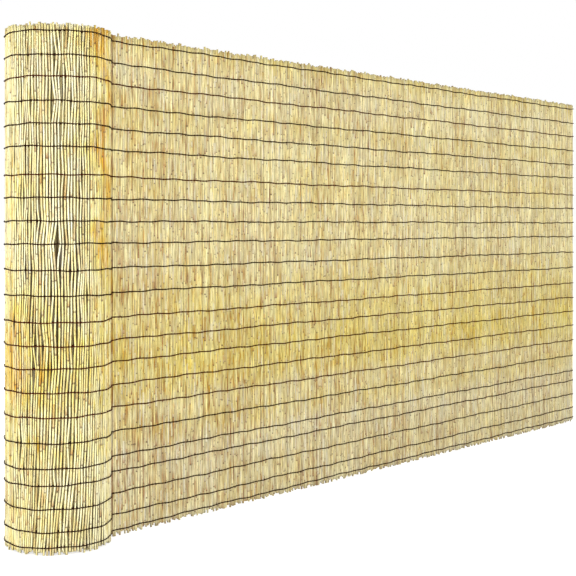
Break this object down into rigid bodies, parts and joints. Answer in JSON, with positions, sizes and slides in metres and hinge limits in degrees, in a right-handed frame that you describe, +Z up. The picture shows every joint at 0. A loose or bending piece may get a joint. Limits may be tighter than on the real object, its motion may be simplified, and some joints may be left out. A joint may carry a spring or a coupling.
{
  "type": "bamboo reed fence",
  "caption": "Tall mat of upright dried reeds laced with rows of thin dark wire, standing on its end as a partly unrolled roll with a straight run of fence.",
  "frame": {"origin": "middle of the bounding box, on the floor that the reeds stand on", "axes": "+X along the straight run, away from the roll; +Y towards the mat's back face, so its front looks along -Y; +Z up along the reeds"},
  "size_m": [3.8396, 0.3704, 1.8],
  "materials": {
    "reed": "dried pale straw reed, satin skin with brown nodes",
    "rolled_reed": "dried straw reed in the shade inside the roll",
    "binding_wire": "dark brown coated wire, half matt"
  },
  "bodies": {
    "root": {"inner_turns_reeds": "rolled_reed", "outer_turn_reeds": "reed", "unrolled_reeds": "reed", "binding_wire_01": "binding_wire", "binding_wire_02": "binding_wire", "binding_wire_03": "binding_wire", "binding_wire_04": "binding_wire", "binding_wire_05": "binding_wire", "binding_wire_06": "binding_wire", "binding_wire_07": "binding_wire", "binding_wire_08": "binding_wire", "binding_wire_09": "binding_wire", "binding_wire_10": "binding_wire", "binding_wire_11": "binding_wire", "binding_wire_12": "binding_wire", "binding_wire_13": "binding_wire", "binding_wire_14": "binding_wire", "binding_wire_15": "binding_wire", "binding_wire_16": "binding_wire", "binding_wire_17": "binding_wire", "binding_wire_18": "binding_wire", "binding_wire_19": "binding_wire", "binding_wire_20": "binding_wire", "binding_wire_21": "binding_wire", "binding_wire_22": "binding_wire", "binding_wire_23": "binding_wire"}
  },
  "joints": []
}
